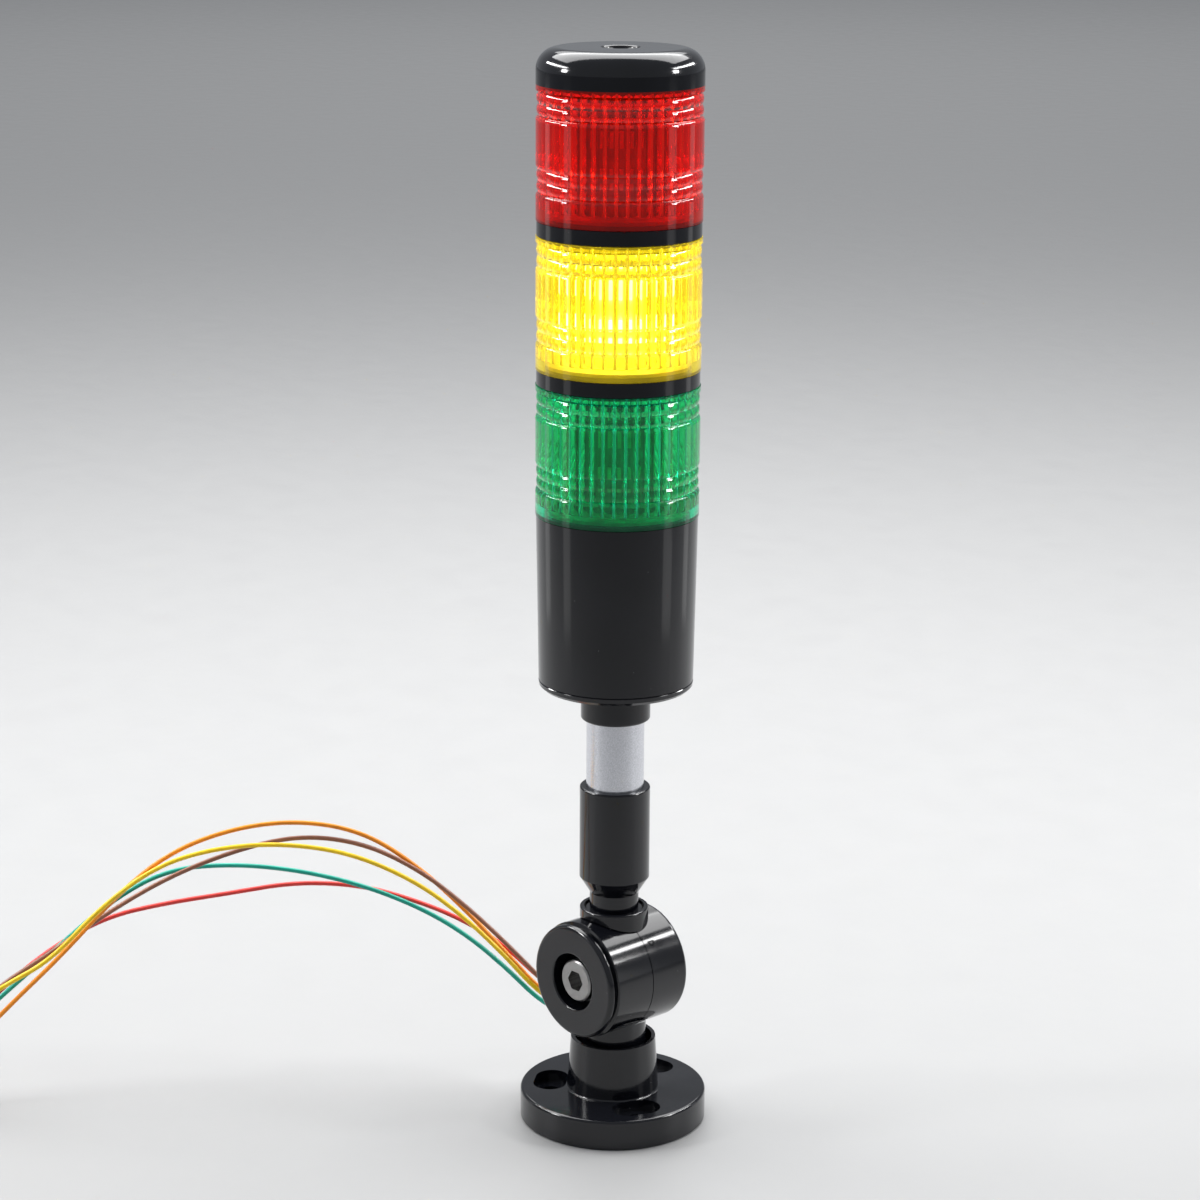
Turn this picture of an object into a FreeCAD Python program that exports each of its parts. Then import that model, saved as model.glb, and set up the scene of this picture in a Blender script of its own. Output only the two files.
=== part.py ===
"""Three-tier stack light on a folding base.

Millimetres. +Z is up, the origin is the centre of the flange's underside, and the
hinge axis runs along Y with the head of its screw at the front, on the -Y side.
"""
import FreeCAD, Part
import math
import os
import re
import Sketcher

Vector = FreeCAD.Vector

SIZES = [
    # fits
    ("slip", 0.1, "clearance of parts that slide into each other"),
    ("running", 0.05, "clearance of a pin that turns or passes through a hole"),
    ("swing_gap", 0.4, "gap between the swinging knuckle and the standing one"),
    ("split_gap", 0.3, "gap between the two halves of the barrel"),
    # flange
    ("flange_radius", 29.5, "flange disc"),
    ("flange_thickness", 9.8, "flange disc"),
    ("flange_rim_round", 1.0, "top edge of the disc"),
    ("flange_foot_bevel", 0.5, "bottom edge of the disc"),
    ("flange_turn", 99.5, "degrees from +X to the first screw hole"),
    ("boss_height", 17.1, "boss above the disc"),
    ("boss_radius", 13.45, "boss at its top"),
    ("boss_taper", 1.05, "growth of the boss radius down to the disc"),
    ("boss_foot_round", 0.6, "fillet between boss and disc"),
    ("boss_wall", 1.2, "wall of the boss round the neck"),
    ("socket_floor", 14.0, "height of the seat of the neck"),
    ("screw_circle", 20.0, "radius of the circle of mounting holes"),
    ("screw_hole", 2.75, "radius of a mounting hole"),
    ("screw_count", 3, "mounting holes"),
    ("counterbore_reach", 2.5, "half the straight length of a counterbore"),
    ("counterbore_radius", 5.25, "ends of a counterbore"),
    ("counterbore_depth", 3.5, "below the top of the disc"),
    ("nut_recess_radius", 15.5, "recess under the flange"),
    ("nut_recess_depth", 6.2, "recess under the flange"),
    # neck of the lower knuckle
    ("neck_radius", 10.4, "visible neck"),
    ("shank_radius", 8.0, "threaded end of the neck"),
    ("neck_bore", 4.5, "wire way in the neck"),
    ("shank_end", 0.4, "height of the end of the shank"),
    ("neck_washer_radius", 14.5, "washer under the flange"),
    ("neck_washer_thickness", 1.1, "washer under the flange"),
    ("neck_nut_flats", 24.0, "across the flats"),
    ("neck_nut_thickness", 4.4, "thin nut"),
    # hinge barrel
    ("neck_rise", 3.7, "bare neck between the boss and the barrel"),
    ("barrel_radius", 18.6, "barrel"),
    ("front_half", 15.0, "from the middle of the barrel to the hinge cap"),
    ("back_half", 15.0, "from the middle of the barrel to its back face"),
    ("barrel_wall", 2.5, "outer wall of the barrel"),
    ("end_wall", 2.6, "end walls of the barrel"),
    ("hub_radius", 13.0, "hubs round the hinge screw"),
    ("barrel_round", 1.6, "back edge of the barrel"),
    ("groove_reach", 1.9, "depth of the groove between cap and barrel, below the barrel"),
    ("groove_half", 0.9, "half the width of that groove"),
    ("hinge_cap_radius", 18.1, "hinge cap"),
    ("cap_thickness", 2.55, "hinge cap in front of the groove's middle"),
    ("cap_round", 1.5, "front edge of the hinge cap"),
    ("cap_recess_radius", 9.1, "recess round the screw head"),
    ("cap_recess_round", 0.5, "edge of that recess"),
    ("cap_cup_wall", 1.8, "cup of the hinge cap"),
    ("cap_cup_floor", 1.5, "floor of the cup, under the screw head"),
    ("head_set_back", 1.35, "from the cap's face to the screw head"),
    ("head_radius", 6.7, "socket head"),
    ("head_height", 8.0, "socket head"),
    ("head_bevel", 0.5, "edge of the socket head"),
    ("key_flats", 6.0, "hexagon of the socket"),
    ("key_depth", 4.5, "hexagon of the socket"),
    ("bolt_radius", 4.0, "hinge screw"),
    ("bolt_tip_bevel", 0.6, "end of the hinge screw"),
    ("hinge_nut_flats", 13.0, "across the flats"),
    ("hinge_nut_height", 6.5, "captive nut"),
    ("nut_seat", 5.0, "from the middle of the barrel to the captive nut"),
    ("washer_radius", 10.0, "friction washer"),
    ("washer_thickness", 0.5, "friction washer"),
    ("mark_width", 3.0, "triangular mark behind the split"),
    ("mark_height", 2.4, "triangular mark behind the split"),
    ("mark_core", 0.5, "raised middle of the mark, as a share of its size"),
    ("mark_depth", 0.25, "triangular mark behind the split"),
    ("mark_angle", 51.0, "degrees from the top of the barrel to the mark"),
    ("mark_offset", 2.9, "from the middle of the barrel to the mark"),
    # collar and sleeve
    ("collar_radius", 10.8, "collar on the barrel"),
    ("collar_rise", 21.5, "collar top above the hinge axis"),
    ("collar_round", 0.5, "top edge of the collar"),
    ("collar_wall", 1.4, "wall round the collar's recess"),
    ("collar_recess", 1.6, "depth of the collar's recess"),
    ("spigot_radius", 6.0, "threaded spigot inside the sleeve"),
    ("spigot_height", 14.0, "spigot above the floor of the recess"),
    ("spigot_bore", 4.0, "wire way in the spigot"),
    ("sleeve_foot_radius", 8.8, "foot of the sleeve's neck"),
    ("sleeve_foot_height", 0.9, "foot of the sleeve's neck"),
    ("sleeve_neck_radius", 7.7, "neck of the sleeve"),
    ("sleeve_neck_rise", 4.9, "top of the neck above the collar"),
    ("sleeve_taper", 5.2, "height of the taper"),
    ("sleeve_radius", 11.0, "sleeve"),
    ("sleeve_length", 29.6, "straight part of the sleeve"),
    ("sleeve_round", 0.6, "lip of the sleeve"),
    ("pole_socket_depth", 24.4, "pole inside the sleeve"),
    ("set_screw_radius", 2.0, "set screw of the pole"),
    ("set_screw_drop", 12.0, "set screw below the lip of the sleeve"),
    # pole
    ("pole_radius", 9.0, "pole"),
    ("pole_wall", 1.2, "pole"),
    ("pole_bare", 21.9, "bare pole between sleeve and body"),
    ("pole_nut_flats", 24.0, "across the flats"),
    ("pole_nut_thickness", 4.0, "thin nut"),
    ("pole_past_nut", 2.0, "end of the pole above its nut"),
    # body
    ("body_boss_radius", 10.8, "boss under the body"),
    ("body_boss_height", 10.7, "boss under the body"),
    ("body_boss_round", 0.8, "lower edge of the boss"),
    ("cover_bottom_radius", 22.9, "flat underside of the cover"),
    ("cover_round", 0.9, "lower edge of the cover"),
    ("cover_height", 2.3, "visible rim of the cover"),
    ("cover_floor", 2.6, "floor of the cover"),
    ("cover_spigot_height", 4.0, "cover inside the housing"),
    ("cover_spigot_wall", 1.8, "cover inside the housing"),
    ("housing_bottom_radius", 23.9, "housing at its seam"),
    ("housing_top_radius", 24.75, "housing at its top"),
    ("housing_height", 52.4, "housing"),
    ("housing_wall", 2.0, "housing"),
    ("seam_bevel", 0.25, "edges of the seam"),
    ("ledge_width", 1.8, "ledge that carries the lowest tier"),
    ("ledge_height", 3.0, "ledge that carries the lowest tier"),
    ("post_radius", 2.4, "posts under the driver board"),
    ("post_margin", 2.8, "from the edge of the driver board to the circle of posts"),
    ("post_height", 22.0, "posts above the floor of the cover"),
    ("post_count", 3, "posts under the driver board"),
    ("sound_hole", 1.1, "sound holes in the cover"),
    ("sound_circle", 17.2, "sound holes in the cover"),
    # electronics in the body
    ("board_gap", 1.9, "between the driver board and the housing"),
    ("board_thickness", 1.6, "driver board"),
    ("board_screw_radius", 1.2, "board screws"),
    ("board_screw_length", 6.0, "board screws, under the head"),
    ("board_screw_head", 2.2, "board screws"),
    ("board_screw_head_height", 1.5, "board screws"),
    ("connector_length", 14.5, "five-way connector"),
    ("connector_width", 6.0, "five-way connector"),
    ("connector_height", 7.0, "five-way connector"),
    ("connector_pitch", 2.5, "five-way connector"),
    ("buzzer_radius", 10.5, "buzzer"),
    ("buzzer_height", 9.0, "buzzer"),
    ("buzzer_port", 1.5, "sound port of the buzzer"),
    ("buzzer_port_depth", 2.0, "sound port of the buzzer"),
    # tiers
    ("lens_radius", 25.0, "lens"),
    ("lens_height", 39.9, "lens"),
    ("lens_bore", 22.3, "lens, between its flutes"),
    ("flute_depth", 0.9, "flutes inside the lens"),
    ("flute_count", 40, "flutes inside the lens"),
    ("flute_start", 3.6, "plain bore below the flutes"),
    ("flute_end", 0.6, "plain bore above the flutes"),
    ("base_band", 7.0, "plain band at the foot of the lens"),
    ("top_band", 1.6, "plain band at the top of the lens"),
    ("lens_groove", 0.8, "depth of the grooves between the rings"),
    ("ring_bulge", 2.9, "radius of a ring's section"),
    ("ring_pitch", 3.4, "pitch of the rings"),
    ("shoulder", 1.3, "from a band to the first groove"),
    ("shoulder_round", 1.7, "section of the shoulders"),
    ("ring_radius", 24.75, "black ring under a tier"),
    ("ring_height", 4.9, "black ring under a tier"),
    ("ring_bevel", 0.3, "edges of the black ring"),
    ("spigot_fit", 0.15, "clearance of a tier base in a lens"),
    ("tier_spigot", 1.0, "tier base inside the lens above it"),
    ("tier_skirt", 1.0, "tier base inside the lens below it"),
    ("tier_wall", 1.6, "wall of the tier base"),
    ("tier_floor", 2.0, "floor of the tier base"),
    ("base_depth", 4.9, "lowest tier base inside the housing"),
    ("pin_circle", 12.0, "contact pins"),
    ("pin_radius", 0.6, "contact pins"),
    ("pin_reach", 3.0, "contact pins above and below the floor"),
    ("pin_count", 4, "contact pins"),
    ("plate_margin", 0.5, "round board of a tier inside the edge of the tier base"),
    ("plate_gap", 2.6, "from the face of a lamp board to the edge of the round board's hole"),
    ("plate_thickness", 1.0, "round board at the foot of a tier"),
    ("lamp_board_width", 12.0, "lamp boards"),
    ("lamp_board_height", 32.0, "lamp boards"),
    ("lamp_board_thickness", 1.2, "lamp boards"),
    ("lamp_board_reach", 8.0, "from the axis to the face of a lamp board"),
    ("lamp_width", 5.0, "lamps"),
    ("lamp_thickness", 1.6, "lamps"),
    ("lower_lamp", 13.4, "height of the lower row in the lens"),
    ("upper_lamp", 24.6, "height of the upper row in the lens"),
    # cap and rod
    ("cap_height", 10.8, "cap"),
    ("cap_top_round", 6.6, "top edge of the cap"),
    ("cap_wall", 2.0, "cap"),
    ("dish_radius", 5.5, "dish in the middle of the cap"),
    ("dish_depth", 1.1, "dish in the middle of the cap"),
    ("dish_round", 0.7, "edge of the dish"),
    ("cap_boss_radius", 6.0, "boss under the cap"),
    ("cap_boss_drop", 3.0, "boss below the foot of the cap"),
    ("insert_radius", 3.4, "threaded insert in the cap"),
    ("insert_length", 6.0, "threaded insert in the cap"),
    ("rod_radius", 2.0, "tie rod"),
    ("rod_below", 8.0, "tie rod below the lowest tier base"),
    ("rod_in_cap", 8.5, "tie rod above the foot of the cap"),
    ("rod_nut_flats", 7.0, "across the flats"),
    ("rod_nut_height", 3.2, "nut of the tie rod"),
    ("rod_washer_radius", 4.5, "washer of the tie rod"),
    ("rod_washer_thickness", 0.8, "washer of the tie rod"),
    # leads
    ("lead_radius", 0.75, "insulation"),
    ("lead_ring", 1.35, "radius of the circle of leads in the grommet"),
    ("lead_run", 5.0, "straight run out of the grommet"),
    ("tip_radius", 0.45, "stripped end"),
    ("tip_length", 6.0, "stripped end"),
    ("outlet_rise", 2.4, "outlet in the neck above the boss"),
    ("outlet_radius", 2.45, "outlet in the neck"),
    ("outlet_depth", 2.5, "outlet in the neck, down to its wire way"),
    ("outlet_flat", 10.0, "from the axis to the flat round the outlet"),
    ("wire_way_radius", 2.1, "from the outlet to the neck's bore"),
    ("wire_way_drop", 0.8, "wire way below the outlet"),
    ("grommet_flange", 2.9, "grommet"),
    ("grommet_lip", 1.4, "grommet outside the neck"),
    ("tier_lead_radius", 0.5, "wires from the driver board to the pins"),
    ("lead_heading", 227.5, "degrees from +X to the way the leads run"),
]

# Heights and places worked out from the sizes, as expressions of the sheet.
BOSS_TOP = "(flange_thickness + boss_height)"
OUTLET = "(%s + outlet_rise)" % BOSS_TOP
HINGE = "(%s + neck_rise + barrel_radius)" % BOSS_TOP
COLLAR_TOP = "(%s + collar_rise)" % HINGE
RECESS_FLOOR = "(%s - collar_recess)" % COLLAR_TOP
SLEEVE_TAPER_START = "(%s + sleeve_neck_rise)" % COLLAR_TOP
SLEEVE_START = "(%s + sleeve_taper)" % SLEEVE_TAPER_START
SLEEVE_TOP = "(%s + sleeve_length)" % SLEEVE_START
POLE_FOOT = "(%s - pole_socket_depth)" % SLEEVE_TOP
BODY_FOOT = "(%s + pole_bare)" % SLEEVE_TOP
COVER_FOOT = "(%s + body_boss_height)" % BODY_FOOT
COVER_FLOOR = "(%s + cover_floor)" % COVER_FOOT
SEAM = "(%s + cover_height)" % COVER_FOOT
BODY_TOP = "(%s + housing_height)" % SEAM
BOARD_SEAT = "(%s + post_height)" % COVER_FLOOR
BOARD_TOP = "(%s + board_thickness)" % BOARD_SEAT
CAP_FOOT = "(%s + 3 * lens_height + 2 * ring_height)" % BODY_TOP
CHAMBER = "(barrel_radius - barrel_wall)"
CUP_RADIUS = "(cap_recess_radius + cap_cup_wall)"
CAP_FACE = "(front_half + cap_thickness)"
HEAD_FACE = "(%s - head_set_back)" % CAP_FACE
HEAD_SEAT = "(%s - head_height)" % HEAD_FACE
CUP_FLOOR = "(%s - cap_cup_floor)" % HEAD_SEAT
SPIGOT_RADIUS = "(lens_bore - spigot_fit)"
HOUSING_BORE = "(housing_bottom_radius - housing_wall)"
BOARD_RADIUS = "(%s - board_gap)" % HOUSING_BORE
POST_CIRCLE = "(%s - post_margin)" % BOARD_RADIUS

TIERS = ["green", "yellow", "red"]

# Each lead's route after its straight run out of the grommet: distance along the leads'
# heading, distance behind the upright plane through the axis, and height.
LEADS = {
    "orange": {"seat": (1.3, -0.4), "route": [
        (17, 18.5, 30.6), (24.5, 20.8, 34), (35, 22.5, 45.5), (48, 23.8, 59.5), (63, 24.2, 74),
        (81, 23, 86.5), (102, 20, 91), (123, 16.5, 89), (143, 13, 81.5), (160, 10.3, 67),
        (176, 6.8, 49.6), (192, 3.8, 34.2), (206, 1, 20), (219, -1.5, 8.2), (232, -4, 0.9),
        (245, -6.5, 0.8)]},
    "brown": {"seat": (-0.8, 1.1), "route": [
        (17.5, 15, 33), (25, 17.8, 40), (35, 19.8, 50), (48, 21.5, 62), (63, 22, 74),
        (81, 21.7, 83), (101, 19.8, 86), (121, 17.8, 81.5), (142, 15, 73.5), (162, 12, 62),
        (180, 8.3, 49.5), (196, 5, 39.5), (211, 2, 27), (224, -0.5, 14), (236, -3, 4.5),
        (247, -5, 0.9), (258, -7.5, 0.8)]},
    "yellow": {"seat": (-1.3, -0.4), "route": [
        (18, 14.8, 31), (25.5, 16.5, 35.5), (36, 18.3, 47), (49, 19.3, 59.5), (64, 19.3, 71),
        (84, 18.3, 80.5), (105, 16, 84.5), (126, 13, 84), (145, 10, 79), (163, 6.8, 66),
        (179, 3.3, 49), (194, 1, 41), (210, -2, 31), (225, -5, 18), (238, -7.5, 7),
        (250, -10, 0.9), (262, -12.5, 0.8)]},
    "green": {"seat": (0.0, -1.35), "route": [
        (17.5, 18, 27.3), (25, 22, 30), (35, 24.3, 39.5), (48, 25.5, 50.5), (63, 26, 59.5),
        (82, 25.2, 67.5), (103, 23.5, 73), (124, 20.5, 75.8), (144, 17.8, 74.5), (162, 14.2, 64.5),
        (180, 11, 48.8), (196, 8, 35), (210, 5.5, 22), (223, 3.5, 11), (236, 1.5, 3),
        (247, -0.5, 0.9), (258, -3, 0.8)]},
    "red": {"seat": (0.8, 1.1), "route": [
        (16.5, 18.5, 32.5), (24.5, 23.3, 36.8), (35, 26.3, 46), (48, 28, 54), (63, 28.3, 60.5),
        (82, 27.3, 66.5), (103, 25.5, 68), (124, 22.8, 65), (144, 20, 62.5), (163, 17, 58.8),
        (180, 13.2, 49.8), (196, 10.3, 37), (209, 8.3, 24), (221, 7, 12), (233, 5.5, 3),
        (244, 3.8, 0.9), (255, 2.3, 0.8)]},
}

doc = FreeCAD.newDocument("stack_light")
sheet = doc.addObject("Spreadsheet::Sheet", "sizes")
nodes = {}


def fill_sheet():
    for row, (alias, value, note) in enumerate(SIZES, start=1):
        sheet.set("A%d" % row, alias)
        sheet.set("B%d" % row, str(value))
        sheet.set("C%d" % row, note)
        sheet.setAlias("B%d" % row, alias)
    doc.recompute()


def linked(expression):
    """The expression with each size's name pointing into the sheet."""
    aliases = {alias for alias, _, _ in SIZES}
    return re.sub(r"[a-z_]+", lambda word: "sizes." + word.group(0) if word.group(0) in aliases
                  else word.group(0), str(expression))


def number(expression):
    return float(sheet.evalExpression(str(expression)))


def bind(thing, prop, expression):
    thing.setExpression(prop, linked(expression))


def place(thing, across="0", along="0", up="0", angle=0):
    """Puts a thing at a place that is turned by angle about the Z axis."""
    cosine = round(math.cos(math.radians(angle)), 12)
    sine = round(math.sin(math.radians(angle)), 12)
    thing.Placement.Rotation = FreeCAD.Rotation(Vector(0, 0, 1), angle)
    bind(thing, "Placement.Base.x", "(%s) * %r - (%s) * %r" % (across, cosine, along, sine))
    bind(thing, "Placement.Base.y", "(%s) * %r + (%s) * %r" % (across, sine, along, cosine))
    bind(thing, "Placement.Base.z", up)
    return thing


def finish(thing, label):
    thing.Label = label
    nodes[label] = thing
    return thing


# ---- sketches and PartDesign bodies

def origin_plane(body, role):
    return next(feature for feature in body.Origin.OriginFeatures if feature.Role == role)


def edge_between(start, end, bend):
    """A line, or an arc with its centre on the left ("round") or right ("hollow")."""
    if bend is None:
        return Part.LineSegment(start, end), True
    kind, radius = bend[0], number(bend[1])
    chord = end - start
    side = 1 if kind == "round" else -1
    normal = Vector(-chord.y, chord.x, 0).normalize() * side
    centre = (start + end) * 0.5 + normal * math.sqrt(radius ** 2 - (chord.Length / 2) ** 2)
    first, last = (start, end) if kind == "round" else (end, start)
    begin = math.atan2(first.y - centre.y, first.x - centre.x)
    finish_angle = math.atan2(last.y - centre.y, last.x - centre.x)
    if finish_angle < begin:
        finish_angle += 2 * math.pi
    circle = Part.Circle(centre, Vector(0, 0, 1), radius)
    return Part.ArcOfCircle(circle, begin, finish_angle), kind == "round"


def outline(body, name, role, points, height=None):
    """A closed sketch. A point is (across, up), or (across, up, bend) where an arc ends."""
    sketch = body.newObject("Sketcher::SketchObject", name)
    sketch.AttachmentSupport = [(origin_plane(body, role), "")]
    sketch.MapMode = "FlatFace"
    if height is not None:
        bind(sketch, "AttachmentOffset.Base.z", height)
    corners = [Vector(number(point[0]), number(point[1]), 0) for point in points]
    count = len(points)
    edges = []
    starts = []
    ends = []
    for index in range(count):
        following = (index + 1) % count
        bend = points[following][2] if len(points[following]) > 2 else None
        edge, forward = edge_between(corners[index], corners[following], bend)
        edges.append(edge)
        starts.append(1 if forward else 2)
        ends.append(2 if forward else 1)
    sketch.addGeometry(edges, False)
    rules = []
    for index in range(count):
        following = (index + 1) % count
        rules.append((Sketcher.Constraint(
            "Coincident", index, ends[index], following, starts[following]), None))
        bend = points[following][2] if len(points[following]) > 2 else None
        if bend is not None:
            rules.append((Sketcher.Constraint("Radius", index, number(bend[1])), bend[1]))
        across, up = points[index][:2]
        if across == "0":
            rules.append((Sketcher.Constraint("PointOnObject", index, starts[index], -2), None))
        else:
            rules.append((Sketcher.Constraint(
                "DistanceX", -1, 1, index, starts[index], number(across)), across))
        if up == "0":
            rules.append((Sketcher.Constraint("PointOnObject", index, starts[index], -1), None))
        else:
            rules.append((Sketcher.Constraint(
                "DistanceY", -1, 1, index, starts[index], number(up)), up))
    added = sketch.addConstraint([rule for rule, _ in rules])
    for position, (_, expression) in zip(added, rules):
        if expression is not None:
            bind(sketch, "Constraints[%d]" % position, expression)
    return sketch


def turned(name, points, role="XZ_Plane", axis="V_Axis"):
    """A turned piece: about Z from a section in XZ, or about Y from one in YZ."""
    body = doc.addObject("PartDesign::Body", name + "_body")
    sketch = outline(body, name + "_section", role, points)
    turn = body.newObject("PartDesign::Revolution", name + "_turn")
    turn.Profile = sketch
    turn.ReferenceAxis = (sketch, [axis])
    turn.Angle = 360
    body.Tip = turn
    return body


def turned_on_hinge(name, points):
    """A piece turned about the hinge axis; its points are (distance to the back, radius)."""
    body = turned(name, points, "YZ_Plane", "H_Axis")
    bind(body, "Placement.Base.z", HINGE)
    return body


def pocket_ring(body, name, points, top, depth, count):
    """A pocket cut down from top and repeated about the Z axis; the cut has to take material."""
    doc.recompute()
    before = body.Shape.Volume
    sketch = outline(body, name + "_outline", "XY_Plane", points, top)
    cut = body.newObject("PartDesign::Pocket", name)
    cut.Profile = sketch
    bind(cut, "Length", depth)
    body.Tip = cut
    ring = body.newObject("PartDesign::PolarPattern", name + "_ring")
    ring.Originals = [cut]
    ring.Axis = (sketch, ["N_Axis"])
    ring.Angle = 360
    bind(ring, "Occurrences", count)
    body.Tip = ring
    doc.recompute()
    if body.Shape.Volume >= before:
        raise RuntimeError(name + " cuts nothing")
    return body


def round_spot(distance, radius):
    """The outline of a round hole at a distance along X, as four quarter arcs."""
    bend = ("round", radius)
    return [("%s + %s" % (distance, radius), "0", bend), (distance, radius, bend),
            ("%s - %s" % (distance, radius), "0", bend), (distance, "-(%s)" % radius, bend)]


# ---- Part primitives and booleans

def rod(name, radius, height, across="0", along="0", up="0", angle=0):
    cylinder = doc.addObject("Part::Cylinder", name)
    bind(cylinder, "Radius", radius)
    bind(cylinder, "Height", height)
    return place(cylinder, across, along, up, angle)


def cross_rod(name, radius, front, length):
    """A cylinder on the hinge axis, from front towards the back."""
    cylinder = doc.addObject("Part::Cylinder", name)
    bind(cylinder, "Radius", radius)
    bind(cylinder, "Height", length)
    cylinder.Placement.Rotation = FreeCAD.Rotation(Vector(1, 0, 0), -90)
    bind(cylinder, "Placement.Base.y", front)
    bind(cylinder, "Placement.Base.z", HINGE)
    return cylinder


def side_rod(name, radius, start, length, up):
    """A cylinder along -X, from start outwards."""
    cylinder = doc.addObject("Part::Cylinder", name)
    bind(cylinder, "Radius", radius)
    bind(cylinder, "Height", length)
    cylinder.Placement.Rotation = FreeCAD.Rotation(Vector(0, 1, 0), -90)
    bind(cylinder, "Placement.Base.x", "-(%s)" % start)
    bind(cylinder, "Placement.Base.z", up)
    return cylinder


def block(name, width, depth, height, across="0", along="0", up="0", angle=0):
    box = doc.addObject("Part::Box", name)
    bind(box, "Length", width)
    bind(box, "Width", depth)
    bind(box, "Height", height)
    return place(box, across, along, up, angle)


def hexagon(name, flats, height):
    prism = doc.addObject("Part::Prism", name)
    prism.Polygon = 6
    bind(prism, "Circumradius", "(%s) / %r" % (flats, round(math.sqrt(3), 12)))
    bind(prism, "Height", height)
    return prism


def cut(name, base, tool):
    result = doc.addObject("Part::Cut", name)
    result.Base = base
    result.Tool = tool
    return result


def fused(name, *things):
    result = doc.addObject("Part::MultiFuse", name)
    result.Shapes = list(things)
    return result


def group(name, things):
    result = doc.addObject("Part::Compound", name)
    result.Links = list(things)
    return result


def shaped(name, shape):
    """A piece whose form is set by the code that calls this."""
    feature = doc.addObject("Part::Feature", name)
    feature.Shape = shape
    return feature


def hex_nut(label, flats, height, bore, up):
    hexagon_part = place(hexagon(label + "_hexagon", flats, height), up=up)
    hole = rod(label + "_hole", bore, height, up=up)
    return finish(cut(label, hexagon_part, hole), label)


# ---- the standing part of the base

def base_flange():
    foot = "(boss_radius + boss_taper)"
    body = turned("base_flange", [
        ("nut_recess_radius", "0"),
        ("flange_radius - flange_foot_bevel", "0"),
        ("flange_radius", "flange_foot_bevel"),
        ("flange_radius", "flange_thickness - flange_rim_round"),
        ("flange_radius - flange_rim_round", "flange_thickness", ("round", "flange_rim_round")),
        (foot + " + boss_foot_round", "flange_thickness"),
        (foot, "flange_thickness + boss_foot_round", ("hollow", "boss_foot_round")),
        ("boss_radius", BOSS_TOP),
        ("boss_radius - boss_wall", BOSS_TOP),
        ("boss_radius - boss_wall", "socket_floor"),
        ("shank_radius + slip", "socket_floor"),
        ("shank_radius + slip", "nut_recess_depth"),
        ("nut_recess_radius", "nut_recess_depth"),
    ])
    bend = ("round", "counterbore_radius")
    pocket_ring(body, "counterbore", [
        ("screw_circle + counterbore_radius", "counterbore_reach"),
        ("screw_circle", "counterbore_reach + counterbore_radius", bend),
        ("screw_circle - counterbore_radius", "counterbore_reach", bend),
        ("screw_circle - counterbore_radius", "-counterbore_reach"),
        ("screw_circle", "-counterbore_reach - counterbore_radius", bend),
        ("screw_circle + counterbore_radius", "-counterbore_reach", bend),
    ], "flange_thickness + boss_foot_round", "counterbore_depth + boss_foot_round", "screw_count")
    pocket_ring(body, "mounting_hole", round_spot("screw_circle", "screw_hole"),
                "flange_thickness", "flange_thickness", "screw_count")
    bind(body, "Placement.Rotation.Angle", "flange_turn")
    finish(body, "base_flange")


def neck_fixing():
    washer_seat = "(nut_recess_depth - neck_washer_thickness)"
    washer = turned("neck_washer", [
        ("shank_radius + slip", washer_seat),
        ("neck_washer_radius", washer_seat),
        ("neck_washer_radius", "nut_recess_depth"),
        ("shank_radius + slip", "nut_recess_depth"),
    ])
    finish(washer, "neck_washer")
    hex_nut("neck_nut", "neck_nut_flats", "neck_nut_thickness", "shank_radius + running",
            washer_seat + " - neck_nut_thickness")


def mark():
    """A shallow triangular line round the outside of the barrel, with its tip down."""
    half = number("mark_width") / 2
    reach = number("mark_height") / 2
    depth = number("mark_depth")
    corners = [Vector(reach, 0, 0), Vector(-reach, half, 0), Vector(-reach, -half, 0)]
    middle = Vector(-reach / 3, 0, 0)
    core = [middle + (corner - middle) * number("mark_core") for corner in corners]
    outer_face = Part.Face(Part.makePolygon(corners + corners[:1]))
    core_face = Part.Face(Part.makePolygon(core + core[:1]))
    line = outer_face.cut(core_face).extrude(Vector(0, 0, 2 * depth))
    line.translate(Vector(0, number("mark_offset"), number("barrel_radius") - depth))
    line.rotate(Vector(0, 0, 0), Vector(0, 1, 0), number("mark_angle"))
    line.translate(Vector(0, 0, number(HINGE)))
    return shaped("mark", line)


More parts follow.
